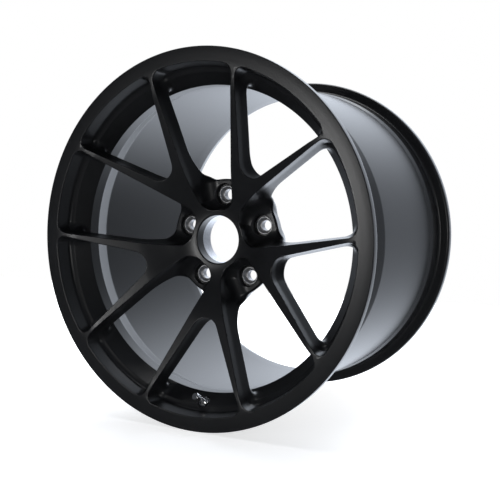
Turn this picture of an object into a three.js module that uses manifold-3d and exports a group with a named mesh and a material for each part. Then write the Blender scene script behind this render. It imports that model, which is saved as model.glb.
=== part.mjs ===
// Forged racing wheel rim, 19 x 13J, with a 5 x 130 bolt circle, built as its separate pieces.
// Millimetres. +Z is up. The wheel's axis lies along Y and its spoke face looks along -Y.
// The origin is the middle of the rim, on the axis, halfway between the two flange faces.

import * as THREE from 'three';
import { mergeVertices } from 'three/addons/utils/BufferGeometryUtils.js';
import Module from 'manifold-3d';

const wasm = await Module();
wasm.setup();

// ---------------------------------------------------------------- driving dimensions

const FLANGE_RADIUS = 261.2; // 19 in bead seat plus 17.5 mm of flange height, to the facet corners
const RIM_WIDTH = 359; // 13 in between the flanges plus the two flange thicknesses
const FLANGE_THICKNESS = 14.4;
const BEAD_RADIUS = 243.7; // bead seat radius at the flange
const BEAD_SEAT_WIDTH = 20;
const BEAD_TAPER = Math.tan(THREE.MathUtils.degToRad(5));
const HUMP_HEIGHT = 1;
const RIM_SIDES = 60; // a flat facet lands at the bottom, so the wheel rests without rolling
const CLEARANCE = 0.3; // gap between pieces that touch on the real wheel

const LIP_INNER_RADIUS = 240.3; // inner edge of the flat front lip
const LIP_EDGE = 1; // chamfer of the lip's inner edge
const LIP_FOOT = { radius: 237.6, depth: 23.5 }; // bottom of the lip's steep inner wall
const LIP_ROOT = { radius: 230.6, depth: 27 }; // where the cone band down to the drop well starts
const WELL = { inner: 215.7, outer: 221.5, start: 47, end: 66 }; // drop well, depths from the lip face
const WELL_SPLIT = 57;
const BARREL_FRONT = { inner: 228, outer: 234, innerDepth: 99, outerDepth: 117 };
const BARREL_SPLIT = 120;
const BARREL_REAR = { inner: 234.8, outer: 240, depth: 312 };

const BOLT_CIRCLE_RADIUS = 65;
const BOLT_COUNT = 5;
const FIRST_BOLT_ANGLE = 18; // degrees from +X towards +Z
const PAD_DEPTH = 113; // mounting pad, measured back from the lip face
const PAD_RADIUS = 81;
const PAD_CHAMFER = 3;
const HUB_RADIUS = 88.1;
const HUB_FACE_DEPTH = 69.2;
const HUB_FACE_RADIUS = 52.2;
const POCKET_DEPTH = 90.1; // floor of the lug pockets between the spokes
const BORE_RING_RADIUS = 42.3; // outside of the raised ring round the bore
const BORE_RING_FOOT_RADIUS = 47; // the same ring below the pocket floor
const FRONT_BORE_RADIUS = 34.5;
const SPIGOT_RADIUS = 35.8; // 71.6 mm centre bore
const CENTRING_RING = { outer: 39.5, front: 86.4, rear: 110 };
const COUNTERBORE = { radius: 15.5, depth: 97 };
const LUG_SEAT = { radius: 12.5, bore: 7.5, mouth: 11.5, step: 108, neck: 9.7, throat: 103.5 };

const SPOKE_COUNT = 5;
const FIRST_SPOKE_ANGLE = -18;
const SPOKE_THICKNESS = 30; // along the axis
const SHOULDER = { radius: 80, depth: 48.4 }; // the face is steeper between the hub and here
const FACE_END_RADIUS = 224.2; // where the spokes' face runs out level with the lip
const REAR_END_RADIUS = 205; // where the spokes' rear side turns into the rim's web
const HAUNCH = { radius: 112.5, rearDepth: 67.5, hubDepth: 101.7 }; // the rear side drops here to the hub
// A spoke in plan: u is half its width, w the distance from the axis.
const STEM = { root: 17, foot: 38.3, neck: 8.8, neckAt: 57.5, waist: 48.5 };
const ARM_OUTER = { bend: { u: 16, w: 82 }, start: { u: 38.8, w: 130 }, lean: 0.466 };
const ARM_INNER_LEAN = 0.565;
const FORK = { w: 109.5, radius: 21.8 }; // round crotch between the two arms

const VALVE_BASE = { radius: 228.7, depth: 35.3 };
const VALVE_TILT = THREE.MathUtils.degToRad(29.8); // from the wheel's axis, leaning to the hub
const VALVE_HOLE_RADIUS = 5.75;
const VALVE_SEAL = { outer: 7.8, low: -12.7, high: -10.8 }; // heights are along the valve's axis
const VALVE_GROMMET = { outer: 7.4, low: -3.3, high: -1.8 };
const VALVE_WASHER = { outer: 7.8, low: -1.5, high: -0.3 };
const VALVE_SHANK = { radius: 5.4, top: 6.4 };
const VALVE_HEAD = { radius: 8.5, low: -16, high: -13 };
const VALVE_THREAD = { radius: 3.85, start: 7.4, top: 26.8 }; // 8V1 valve thread
const VALVE_AIRWAY = { radius: 2.2, top: 7.6 };
const VALVE_CHAMBER = { radius: 2.9, floor: 8.6 };
const VALVE_NUT = { corner: 7.6, height: 5 };
const CORE_SEAL = { inner: 2, outer: 2.6, low: 10.3, high: 12.3 };
const CORE_SPRING = { turns: 5, stepsPerTurn: 12, coil: 1.15, wire: 0.17, low: 13.9, high: 20.9 };
const CAP = { radius: 5, bore: 4.25, low: 19.5, roof: 28.2, high: 29.8, chamfer: 0.6 };
const CAP_GASKET = { low: 27.1, high: 27.9 };
const SMALL_SIDES = 24; // bolt holes, seats and valve pieces
const SPOT_FACE = { radius: 8.6, floor: -3.6, reach: 20 }; // flat milled round the valve hole

const LIP_Y = -RIM_WIDTH / 2;
const ARM_SLOPE = SHOULDER.depth / (FACE_END_RADIUS - SHOULDER.radius);

// ---------------------------------------------------------------- materials

const coat = new THREE.MeshStandardMaterial({ color: 0x1b1d20, roughness: 0.42, metalness: 0.2 });
const steel = new THREE.MeshStandardMaterial({ color: 0xb9bcc0, roughness: 0.25, metalness: 1 });
const ringMetal = new THREE.MeshStandardMaterial({ color: 0xc9ccd0, roughness: 0.2, metalness: 1 });
const chrome = new THREE.MeshStandardMaterial({ color: 0xd9dbde, roughness: 0.1, metalness: 1 });
const brass = new THREE.MeshStandardMaterial({ color: 0xc9a24c, roughness: 0.3, metalness: 1 });
const rubber = new THREE.MeshStandardMaterial({ color: 0x101011, roughness: 0.85, metalness: 0 });

// ---------------------------------------------------------------- solids

function solidFrom(geometry) {
  const bare = geometry.clone();
  bare.deleteAttribute('normal');
  bare.deleteAttribute('uv');
  const merged = mergeVertices(bare, 1e-4);
  const position = merged.attributes.position;
  const index = merged.index.array;
  const triangles = [];
  let volume = 0;
  const [a, b, c] = [new THREE.Vector3(), new THREE.Vector3(), new THREE.Vector3()];
  for (let i = 0; i < index.length; i += 3) {
    const [p, q, r] = [index[i], index[i + 1], index[i + 2]];
    if (p === q || q === r || r === p) continue;
    triangles.push(p, q, r);
    a.fromBufferAttribute(position, p);
    b.fromBufferAttribute(position, q);
    c.fromBufferAttribute(position, r);
    volume += a.dot(b.cross(c));
  }
  if (volume < 0) triangles.reverse();
  return new wasm.Manifold(new wasm.Mesh({
    numProp: 3,
    vertProperties: new Float32Array(position.array),
    triVerts: new Uint32Array(triangles),
  }));
}

function geometryFrom(solid) {
  const mesh = solid.getMesh();
  const geometry = new THREE.BufferGeometry();
  geometry.setAttribute('position', new THREE.BufferAttribute(mesh.vertProperties, 3));
  geometry.setIndex(new THREE.BufferAttribute(mesh.triVerts, 1));
  geometry.computeVertexNormals();
  return geometry;
}

// A ring or disc about the Y axis. Each profile point is [radius, height along Y].
function revolve(profile, sides) {
  const points = [...profile, profile[0]].map(([radius, y]) => new THREE.Vector2(radius, y));
  return new THREE.LatheGeometry(points, sides, Math.PI / sides);
}

// The same about the wheel's axis, with each height given as a depth behind the lip face.
function revolveRim(profile, sides = RIM_SIDES) {
  return revolve(profile.map(([radius, depth]) => [radius, LIP_Y + depth]), sides);
}

function piece(name, geometry, material) {
  const mesh = new THREE.Mesh(geometry, material);
  mesh.name = name;
  return mesh;
}

// Moves a solid made about the Y axis onto the bolt circle.
function atBolt(geometry, number) {
  const angle = THREE.MathUtils.degToRad(FIRST_BOLT_ANGLE + number * 360 / BOLT_COUNT);
  const x = BOLT_CIRCLE_RADIUS * Math.cos(angle);
  const z = BOLT_CIRCLE_RADIUS * Math.sin(angle);
  return geometry.clone().translate(x, 0, z);
}

// A prism through the whole hub and spokes from a plan outline, whose upright axis is turned
// to an angle in degrees from +X towards +Z.
function planPrism(outline, angle) {
  const overshoot = 10;
  const depth = PAD_DEPTH + 2 * overshoot;
  const prism = new THREE.ExtrudeGeometry(outline, { depth, bevelEnabled: false });
  prism.rotateX(Math.PI / 2);
  prism.translate(0, LIP_Y + depth - overshoot, 0);
  return prism.rotateY(THREE.MathUtils.degToRad(90 - angle));
}

// Depth of the spokes' face at a radius beyond the shoulder: a cone that runs out at the lip.
function faceDepth(radius) {
  return ARM_SLOPE * (FACE_END_RADIUS - radius);
}

// ---------------------------------------------------------------- the valve's own frame

// Local +Y points out of the rim wall towards the cap. Zero is on the rim's cone band.
const valveAxis = new THREE.Vector3(0, -Math.cos(VALVE_TILT), Math.sin(VALVE_TILT));
const valveFrame = new THREE.Matrix4().compose(
  new THREE.Vector3(0, LIP_Y + VALVE_BASE.depth, -VALVE_BASE.radius),
  new THREE.Quaternion().setFromUnitVectors(new THREE.Vector3(0, 1, 0), valveAxis),
  new THREE.Vector3(1, 1, 1),
);

function valveRing(inner, { outer, low, high }) {
  return revolve([[inner, low], [outer, low], [outer, high], [inner, high]], SMALL_SIDES);
}

function plug(radius, low, high) {
  return revolve([[0, low], [radius, low], [radius, high], [0, high]], SMALL_SIDES);
}

// ---------------------------------------------------------------- rim

function rimFrontFlange() {
  const seatEnd = FLANGE_THICKNESS + 4 + BEAD_SEAT_WIDTH;
  const seatEndRadius = BEAD_RADIUS - BEAD_TAPER * BEAD_SEAT_WIDTH;
  const ring = solidFrom(revolveRim([
    [LIP_INNER_RADIUS + LIP_EDGE, 0],
    [FLANGE_RADIUS - 1.5, 0],
    [FLANGE_RADIUS, 1.5],
    [FLANGE_RADIUS, FLANGE_THICKNESS - 4],
    [FLANGE_RADIUS - 3, FLANGE_THICKNESS],
    [BEAD_RADIUS + 5, FLANGE_THICKNESS],
    [BEAD_RADIUS, FLANGE_THICKNESS + 4],
    [seatEndRadius, seatEnd - 2],
    [seatEndRadius + HUMP_HEIGHT, seatEnd],
    [WELL.outer, WELL.start + 3.4],
    [WELL.outer, WELL_SPLIT - CLEARANCE / 2],
    [WELL.inner, WELL_SPLIT - CLEARANCE / 2],
    [WELL.inner, WELL.start],
    [LIP_ROOT.radius, LIP_ROOT.depth],
    [LIP_FOOT.radius, LIP_FOOT.depth],
    [LIP_INNER_RADIUS, LIP_EDGE],
  ]));
  const hole = plug(VALVE_HOLE_RADIUS, -SPOT_FACE.reach, SPOT_FACE.reach);
  const spotFace = plug(SPOT_FACE.radius, SPOT_FACE.floor, SPOT_FACE.reach);
  return geometryFrom(ring
    .subtract(solidFrom(hole.applyMatrix4(valveFrame)))
    .subtract(solidFrom(spotFace.applyMatrix4(valveFrame))));
}

// Radius on the straight line between two corners of the barrel, at a depth.
function along(depth, [radiusA, depthA], [radiusB, depthB]) {
  return radiusA + (radiusB - radiusA) * (depth - depthA) / (depthB - depthA);
}

const innerCorners = [
  [BARREL_FRONT.inner, BARREL_FRONT.innerDepth],
  [BARREL_REAR.inner, BARREL_REAR.depth],
];
const outerCorners = [
  [BARREL_FRONT.outer, BARREL_FRONT.outerDepth],
  [BARREL_REAR.outer, BARREL_REAR.depth],
];

function rimDropWell() {
  const rear = BARREL_SPLIT - CLEARANCE / 2;
  return revolveRim([
    [WELL.inner, WELL_SPLIT + CLEARANCE / 2],
    [WELL.outer, WELL_SPLIT + CLEARANCE / 2],
    [WELL.outer, WELL.end],
    outerCorners[0],
    [along(rear, ...outerCorners), rear],
    [along(rear, ...innerCorners), rear],
    innerCorners[0],
    [WELL.inner, WELL.end],
  ]);
}

function rimBarrel() {
  const front = BARREL_SPLIT + CLEARANCE / 2;
  const rear = BARREL_REAR.depth - CLEARANCE / 2;
  return revolveRim([
    [along(front, ...innerCorners), front],
    [along(front, ...outerCorners), front],
    [BARREL_REAR.outer, rear],
    [BARREL_REAR.inner, rear],
  ]);
}

function rimRearFlange() {
  const seatEnd = RIM_WIDTH - FLANGE_THICKNESS - 4;
  const seatStart = seatEnd - BEAD_SEAT_WIDTH;
  const seatStartRadius = BEAD_RADIUS - BEAD_TAPER * BEAD_SEAT_WIDTH;
  return revolveRim([
    [BARREL_REAR.inner, BARREL_REAR.depth + CLEARANCE / 2],
    [BARREL_REAR.outer, BARREL_REAR.depth + CLEARANCE / 2],
    [seatStartRadius + HUMP_HEIGHT, seatStart - 1],
    [seatStartRadius, seatStart + 2],
    [BEAD_RADIUS, seatEnd],
    [BEAD_RADIUS + 5, RIM_WIDTH - FLANGE_THICKNESS],
    [FLANGE_RADIUS - 3, RIM_WIDTH - FLANGE_THICKNESS],
    [FLANGE_RADIUS, RIM_WIDTH - FLANGE_THICKNESS + 4],
    [FLANGE_RADIUS, RIM_WIDTH - 1.5],
    [FLANGE_RADIUS - 1.5, RIM_WIDTH],
    [LIP_INNER_RADIUS + 1.5, RIM_WIDTH],
    [LIP_INNER_RADIUS, RIM_WIDTH - 1.5],
    [BARREL_REAR.inner + 0.6, RIM_WIDTH - FLANGE_THICKNESS - 2],
  ]);
}

// ---------------------------------------------------------------- hub

function hubBoreRing() {
  return revolveRim([
    [FRONT_BORE_RADIUS + 1, HUB_FACE_DEPTH],
    [BORE_RING_RADIUS, HUB_FACE_DEPTH],
    [BORE_RING_RADIUS, POCKET_DEPTH],
    [BORE_RING_FOOT_RADIUS, POCKET_DEPTH],
    [BORE_RING_FOOT_RADIUS, PAD_DEPTH],
    [CENTRING_RING.outer + CLEARANCE, PAD_DEPTH],
    [CENTRING_RING.outer + CLEARANCE, CENTRING_RING.front - CLEARANCE],
    [FRONT_BORE_RADIUS, CENTRING_RING.front - CLEARANCE],
    [FRONT_BORE_RADIUS, HUB_FACE_DEPTH + 1],
  ]);
}

// The hub's flange round one bolt: a sector of a disc with a stepped hole for the seat.
function lugBoss(number) {
  const flange = solidFrom(revolveRim([
    [BORE_RING_FOOT_RADIUS + CLEARANCE, POCKET_DEPTH],
    [HUB_RADIUS, POCKET_DEPTH],
    [PAD_RADIUS + PAD_CHAMFER, PAD_DEPTH - PAD_CHAMFER],
    [PAD_RADIUS, PAD_DEPTH],
    [BORE_RING_FOOT_RADIUS + CLEARANCE, PAD_DEPTH],
  ]));
  const halfAngle = Math.PI / BOLT_COUNT;
  const apex = CLEARANCE / 2 / Math.sin(halfAngle);
  const reach = 2 * HUB_RADIUS;
  const sector = new THREE.Shape([
    new THREE.Vector2(0, apex),
    new THREE.Vector2(reach * Math.sin(halfAngle), apex + reach * Math.cos(halfAngle)),
    new THREE.Vector2(-reach * Math.sin(halfAngle), apex + reach * Math.cos(halfAngle)),
  ]);
  const hole = revolveRim([
    [0, HUB_FACE_DEPTH],
    [COUNTERBORE.radius, HUB_FACE_DEPTH],
    [COUNTERBORE.radius, COUNTERBORE.depth - CLEARANCE],
    [LUG_SEAT.radius + CLEARANCE, COUNTERBORE.depth - CLEARANCE],
    [LUG_SEAT.radius + CLEARANCE, LUG_SEAT.step + CLEARANCE],
    [LUG_SEAT.neck + CLEARANCE, LUG_SEAT.step + CLEARANCE],
    [LUG_SEAT.neck + CLEARANCE, PAD_DEPTH + 5],
    [0, PAD_DEPTH + 5],
  ], SMALL_SIDES);
  return geometryFrom(flange
    .intersect(solidFrom(planPrism(sector, FIRST_BOLT_ANGLE + number * 360 / BOLT_COUNT)))
    .subtract(solidFrom(atBolt(hole, number))));
}

function lugSeat(number) {
  // The mouth is a spherical seat for the bolt's shoulder, drawn as a quarter wave.
  const seat = [0.25, 0.5, 0.75].map((t) => [
    LUG_SEAT.bore + (LUG_SEAT.mouth - LUG_SEAT.bore) * Math.sin(t * Math.PI / 2),
    LUG_SEAT.throat + (COUNTERBORE.depth - LUG_SEAT.throat) * (1 - Math.cos(t * Math.PI / 2)),
  ]);
  return atBolt(revolveRim([
    [LUG_SEAT.bore, LUG_SEAT.throat],
    ...seat,
    [LUG_SEAT.mouth, COUNTERBORE.depth],
    [LUG_SEAT.radius, COUNTERBORE.depth],
    [LUG_SEAT.radius, LUG_SEAT.step],
    [LUG_SEAT.neck, LUG_SEAT.step],
    [LUG_SEAT.neck, PAD_DEPTH - CLEARANCE],
    [LUG_SEAT.bore, PAD_DEPTH - CLEARANCE],
  ], SMALL_SIDES), number);
}

function centringRing() {
  return revolveRim([
    [SPIGOT_RADIUS, CENTRING_RING.front],
    [CENTRING_RING.outer, CENTRING_RING.front],
    [CENTRING_RING.outer, CENTRING_RING.rear],
    [SPIGOT_RADIUS + 1.5, CENTRING_RING.rear],
    [SPIGOT_RADIUS, CENTRING_RING.rear - 1.5],
  ]);
}

// ---------------------------------------------------------------- spokes

// One Y in plan: its right half from the hub out to the rim and back to the crotch, then mirrored.
function spokeOutline() {
  const reach = FLANGE_RADIUS;
  const { bend, start, lean } = ARM_OUTER;
  const turn = -Math.atan(ARM_INNER_LEAN);
  const centre = FORK.w + FORK.radius;
  const inner = { u: FORK.radius * Math.cos(turn), w: centre + FORK.radius * Math.sin(turn) };
  const half = new THREE.Path();
  half.moveTo(STEM.root, STEM.foot);
  half.quadraticCurveTo(STEM.neck, STEM.waist, STEM.neck, STEM.neckAt);
  half.quadraticCurveTo(bend.u, bend.w, start.u, start.w);
  half.lineTo(start.u + lean * (reach - start.w), reach);
  half.lineTo(inner.u + ARM_INNER_LEAN * (reach - inner.w), reach);
  half.lineTo(inner.u, inner.w);
  half.absarc(0, centre, FORK.radius, turn, -Math.PI / 2, true);
  const right = half.getPoints(8);
  const left = right.slice(0, -1).reverse().map((point) => new THREE.Vector2(-point.x, point.y));
  return new THREE.Shape([...right, ...left]);
}

// The solid of revolution that the spokes are cut from.
function spokeDisc() {
  return revolveRim([
    [BORE_RING_RADIUS + CLEARANCE, HUB_FACE_DEPTH],
    [HUB_FACE_RADIUS, HUB_FACE_DEPTH],
    [SHOULDER.radius, SHOULDER.depth],
    [FACE_END_RADIUS, LIP_EDGE / 2],
    [LIP_INNER_RADIUS - CLEARANCE, LIP_EDGE / 2],
    [LIP_FOOT.radius - CLEARANCE, LIP_FOOT.depth],
    [LIP_ROOT.radius - CLEARANCE, LIP_ROOT.depth],
    [WELL.inner - CLEARANCE, WELL.start - 0.1],
    [REAR_END_RADIUS, faceDepth(REAR_END_RADIUS) + SPOKE_THICKNESS],
    [HAUNCH.radius, HAUNCH.rearDepth],
    [HUB_RADIUS + CLEARANCE, HAUNCH.hubDepth],
    [HUB_RADIUS + CLEARANCE, POCKET_DEPTH - CLEARANCE],
    [BORE_RING_RADIUS + CLEARANCE, POCKET_DEPTH - CLEARANCE],
  ]);
}

function spoke(number, disc) {
  const angle = FIRST_SPOKE_ANGLE + number * 360 / SPOKE_COUNT;
  return geometryFrom(disc.intersect(solidFrom(planPrism(spokeOutline(), angle))));
}

// ---------------------------------------------------------------- valve

function valveStem() {
  return revolve([
    [VALVE_AIRWAY.radius, VALVE_HEAD.low],
    [VALVE_HEAD.radius, VALVE_HEAD.low],
    [VALVE_HEAD.radius, VALVE_HEAD.high],
    [VALVE_SHANK.radius, VALVE_HEAD.high],
    [VALVE_SHANK.radius, VALVE_SHANK.top],
    [VALVE_THREAD.radius, VALVE_THREAD.start],
    [VALVE_THREAD.radius, VALVE_THREAD.top],
    [VALVE_CHAMBER.radius, VALVE_THREAD.top],
    [VALVE_CHAMBER.radius, VALVE_CHAMBER.floor],
    [VALVE_AIRWAY.radius, VALVE_AIRWAY.top],
  ], SMALL_SIDES);
}

function valveNut() {
  const corners = [0, 1, 2, 3, 4, 5].map((side) => new THREE.Vector2(
    VALVE_NUT.corner * Math.cos(side * Math.PI / 3),
    VALVE_NUT.corner * Math.sin(side * Math.PI / 3),
  ));
  const flats = new THREE.Shape(corners);
  const hole = new THREE.Path();
  hole.absarc(0, 0, VALVE_SHANK.radius + CLEARANCE, 0, 2 * Math.PI, false);
  flats.holes.push(hole);
  const settings = { depth: VALVE_NUT.height, bevelEnabled: false, curveSegments: SMALL_SIDES / 2 };
  return new THREE.ExtrudeGeometry(flats, settings).rotateX(-Math.PI / 2);
}

// The corners of the core's body and pin are [radius, height].
function valveCoreBody() {
  return revolve([
    [0.9, 8.9], [2.0, 8.9], [1.7, 10], [1.7, 12.6], [2.6, 12.6], [2.6, 24], [0.95, 24],
    [0.95, 22.9], [1.6, 22.9], [1.6, 13.4], [0.9, 13.4],
  ], 16);
}

function valveCorePin() {
  return revolve([
    [0, 6.2], [1.6, 6.2], [1.6, 7.4], [0.55, 7.4], [0.55, 21.4], [1.25, 21.4], [1.25, 22.3],
    [0.55, 22.3], [0.55, 26.2], [0, 26.2],
  ], 12);
}

function valveCoreSpring() {
  const { turns, stepsPerTurn, coil, wire, low, high } = CORE_SPRING;
  const points = [];
  for (let step = 0; step <= turns * stepsPerTurn; step += 1) {
    const angle = step * 2 * Math.PI / stepsPerTurn;
    const height = low + (high - low) * step / (turns * stepsPerTurn);
    points.push(new THREE.Vector3(coil * Math.cos(angle), height, coil * Math.sin(angle)));
  }
  const section = new THREE.Shape();
  section.absarc(0, 0, wire, 0, 2 * Math.PI, false);
  return new THREE.ExtrudeGeometry(section, {
    curveSegments: 3,
    steps: turns * stepsPerTurn,
    extrudePath: new THREE.CatmullRomCurve3(points),
    bevelEnabled: false,
  });
}

function valveCap() {
  return revolve([
    [CAP.bore, CAP.low],
    [CAP.radius, CAP.low],
    [CAP.radius, CAP.high - CAP.chamfer],
    [CAP.radius - CAP.chamfer, CAP.high],
    [0, CAP.high],
    [0, CAP.roof],
    [CAP.bore, CAP.roof],
  ], SMALL_SIDES);
}

// ---------------------------------------------------------------- assembly

const wheel = new THREE.Group();
wheel.add(piece('rim_front_flange', rimFrontFlange(), coat));
wheel.add(piece('rim_drop_well', geometryFrom(solidFrom(rimDropWell())), coat));
wheel.add(piece('rim_barrel', geometryFrom(solidFrom(rimBarrel())), coat));
wheel.add(piece('rim_rear_flange', geometryFrom(solidFrom(rimRearFlange())), coat));
wheel.add(piece('hub_bore_ring', geometryFrom(solidFrom(hubBoreRing())), coat));

const disc = solidFrom(spokeDisc());
for (let number = 0; number < SPOKE_COUNT; number += 1) {
  wheel.add(piece(`spoke_${number + 1}`, spoke(number, disc), coat));
}

for (let number = 0; number < BOLT_COUNT; number += 1) {
  wheel.add(piece(`lug_boss_${number + 1}`, lugBoss(number), coat));
  wheel.add(piece(`lug_seat_${number + 1}`, geometryFrom(solidFrom(lugSeat(number))), steel));
}
wheel.add(piece('hub_centring_ring', geometryFrom(solidFrom(centringRing())), ringMetal));

const valve = new THREE.Group();
valve.applyMatrix4(valveFrame);
const valvePieces = [
  ['valve_stem', valveStem(), chrome],
  ['valve_seal_outer', valveRing(VALVE_HOLE_RADIUS, VALVE_SEAL), rubber],
  ['valve_seal_inner', valveRing(VALVE_HOLE_RADIUS, VALVE_GROMMET), rubber],
  ['valve_washer', valveRing(VALVE_HOLE_RADIUS, VALVE_WASHER), chrome],
  ['valve_nut', valveNut(), chrome],
  ['valve_core_body', valveCoreBody(), brass],
  ['valve_core_seal', valveRing(CORE_SEAL.inner, CORE_SEAL), rubber],
  ['valve_core_pin', valveCorePin(), brass],
  ['valve_core_spring', valveCoreSpring(), steel],
  ['valve_cap', valveCap(), chrome],
  ['valve_cap_gasket', plug(VALVE_THREAD.radius, CAP_GASKET.low, CAP_GASKET.high), rubber],
];
for (const [name, geometry, material] of valvePieces) {
  valve.add(piece(name, geometryFrom(solidFrom(geometry)), material));
}
wheel.add(valve);

export default wheel;
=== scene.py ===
"""Forged racing wheel rim: the finished surfaces, materials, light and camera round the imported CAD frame.

The forging is one watertight skin. Its face side is the zero surface of a signed distance function,
meshed on a polar grid; its barrel and flanges are turned from a section. Sections and plans are in
millimetres, as radius and depth behind the lip face; every Blender object is in metres.
"""

import math

import bmesh
import bpy
import numpy as np
from mathutils import Matrix, Vector


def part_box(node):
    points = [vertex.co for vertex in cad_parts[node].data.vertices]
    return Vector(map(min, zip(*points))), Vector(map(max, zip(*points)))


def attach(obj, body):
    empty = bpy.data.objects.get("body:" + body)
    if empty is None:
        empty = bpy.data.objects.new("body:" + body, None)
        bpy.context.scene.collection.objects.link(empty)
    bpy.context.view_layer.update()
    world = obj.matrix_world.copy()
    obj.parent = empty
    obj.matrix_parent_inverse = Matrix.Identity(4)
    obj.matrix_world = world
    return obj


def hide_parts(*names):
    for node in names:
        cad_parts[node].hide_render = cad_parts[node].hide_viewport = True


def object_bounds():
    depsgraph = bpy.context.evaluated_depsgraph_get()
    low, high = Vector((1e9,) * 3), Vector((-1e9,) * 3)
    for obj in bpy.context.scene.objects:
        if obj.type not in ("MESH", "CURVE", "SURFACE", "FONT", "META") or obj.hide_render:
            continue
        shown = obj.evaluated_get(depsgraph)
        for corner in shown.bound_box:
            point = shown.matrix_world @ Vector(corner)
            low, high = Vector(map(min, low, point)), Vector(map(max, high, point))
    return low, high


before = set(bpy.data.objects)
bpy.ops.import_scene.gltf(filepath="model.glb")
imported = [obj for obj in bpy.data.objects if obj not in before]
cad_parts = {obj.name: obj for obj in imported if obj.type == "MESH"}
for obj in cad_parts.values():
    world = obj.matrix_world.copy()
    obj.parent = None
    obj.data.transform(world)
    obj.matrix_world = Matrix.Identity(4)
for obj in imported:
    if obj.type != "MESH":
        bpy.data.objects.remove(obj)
CAD_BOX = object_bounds()

MM = 0.001


def node_centre(name):
    """Middle of a CAD node's box, in metres."""
    low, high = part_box(name)
    return (low + high) / 2


# ---------------------------------------------------------------- sizes, in mm

LIP_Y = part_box("rim_front_flange")[0].y / MM
RIM_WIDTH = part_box("rim_rear_flange")[1].y / MM - LIP_Y
FLANGE_RADIUS = CAD_BOX[1].z / MM
FLANGE_THICKNESS = 14.4
BEAD_RADIUS = 243.7
BEAD_HEEL = {"rise": 1, "depth": 5}
BEAD_SEAT_END = 24  # behind the flange's tyre side
BEAD_DROP = 1.75
HUMP_HEIGHT = 1
FRONT_HUMP = {"start": -3, "peak": -0.5, "end": 3}  # depths from the seat's end
REAR_HUMP = {"start": 2, "peak": -1}
RIM_CORNER = 1.2
FLANGE_ROLL = {"outer": 4, "inner": 5}

LIP_INNER_RADIUS = 240.3
LIP_FOOT = (237.6, 23.5)
LIP_ROOT = (230.6, 27)
LIP_FLAT_START = LIP_INNER_RADIUS + 10  # the distance function's side of the lip ends here
WELL = {"inner": 215.7, "outer": 221.5, "start": 47, "end": 66, "outer_start": 50.4}
BARREL_FRONT = {"inner": 228, "outer": 234, "inner_depth": 99, "outer_depth": 117}
BARREL_REAR = {"inner": 234.8, "outer": 240, "depth": 312}
BARREL_MOUTH = {"radius": 235.4, "before_flange": 2}
BARREL_SLOPE = (BARREL_REAR["inner"] - BARREL_FRONT["inner"]) / (
    BARREL_REAR["depth"] - BARREL_FRONT["inner_depth"])
BARREL_ROWS = (210, 150)

BOLT_RADIUS = math.hypot(node_centre("lug_seat_1").x, node_centre("lug_seat_1").z) / MM
FIRST_BOLT = math.atan2(node_centre("lug_seat_1").z, node_centre("lug_seat_1").x)
SPOKES = 5
PITCH = 2 * math.pi / SPOKES
HUB_RADIUS = 88.1
HUB_FACE_DEPTH = 69.2
HUB_FACE_RADIUS = 52.2
POCKET_DEPTH = 90.1
PAD_RADIUS = 81
PAD_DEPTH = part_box("hub_bore_ring")[1].y / MM - LIP_Y
PAD_CHAMFER = 3
PAD_EDGE = 0.8
BORE_RING_RADIUS = 42.3
BORE_RING_REACH = 5  # how far the ring runs on into the hub, under the pockets' floor
BORE_RING_FILLET = 2
FRONT_BORE_RADIUS = 34.5
FRONT_BORE_CHAMFER = 1.3
SPIGOT_RADIUS = 35.8
CENTRING_RING = {"outer": 39.5, "front": 86.4, "rear": 110}
COUNTERBORE = {"radius": 15.5, "depth": 97}
LUG_SEAT = {"radius": 12.5, "bore": 7.5, "mouth": 11.5, "step": 108, "neck": 9.7, "throat": 103.5}

# The spokes: the face's slopes, and one Y in plan. Leans are across to outwards.
SPOKE_THICKNESS = 30
SHOULDER = {"radius": 80, "depth": 48.4}
FACE_END_RADIUS = 224.2
HUB_SLOPE = (HUB_FACE_DEPTH - SHOULDER["depth"]) / (SHOULDER["radius"] - HUB_FACE_RADIUS)
ARM_SLOPE = SHOULDER["depth"] / (FACE_END_RADIUS - SHOULDER["radius"])
HAUNCH = {"radius": 88, "depth": 102, "slope": 1.4}
STEM = {"root": 17, "foot": 38.3, "neck": 8.8, "neck_at": 57.5, "bend_at": 48.5}
ARM_OUTER = {"bend": (16, 82), "start": (38.8, 130), "lean": 0.466}
ARM_INNER_LEAN = 0.565
FORK = {"w": 109.5, "radius": 21.8}

# The spokes' sides: nearly upright down to a crease, then spreading. Edges and fillets are radii.
CREASE_DEPTH = 11
CREASE_SOFTNESS = 2
UPPER_DRAFT = 0.03
LOWER_DRAFT = 0.17
EDGE = 1.1
REAR_EDGE = 3
FACE_BEND = 12
LIP_BEND = 6
HAUNCH_BEND = 14
HUB_FILLET = 18
RIM_FILLET = 14
BORE_EDGE = 0.3
LUG_EDGE = 0.5
SPOT_EDGE = 0.4


# ---------------------------------------------------------------- outlines

def arc_through(before, corner, after, radius, steps):
    """Points of the arc that rounds a corner of an outline."""
    before, corner, after = (np.array(p[:2], float) for p in (before, corner, after))
    a = (before - corner) / np.linalg.norm(before - corner)
    b = (after - corner) / np.linalg.norm(after - corner)
    half = math.acos(np.clip(a @ b, -1, 1)) / 2
    if radius == 0 or abs(half - math.pi / 2) < 1e-3:
        return [corner]
    centre = corner + (a + b) / np.linalg.norm(a + b) * radius / math.sin(half)
    start = corner + a * radius / math.tan(half) - centre
    finish = corner + b * radius / math.tan(half) - centre
    sweep = math.atan2(start[0] * finish[1] - start[1] * finish[0], start @ finish)
    count = max(2, math.ceil(abs(sweep) / math.pi * steps))
    turned = []
    for i in range(count + 1):
        t = sweep * i / count
        turned.append(centre + [start[0] * math.cos(t) - start[1] * math.sin(t),
                                start[0] * math.sin(t) + start[1] * math.cos(t)])
    return turned


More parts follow.
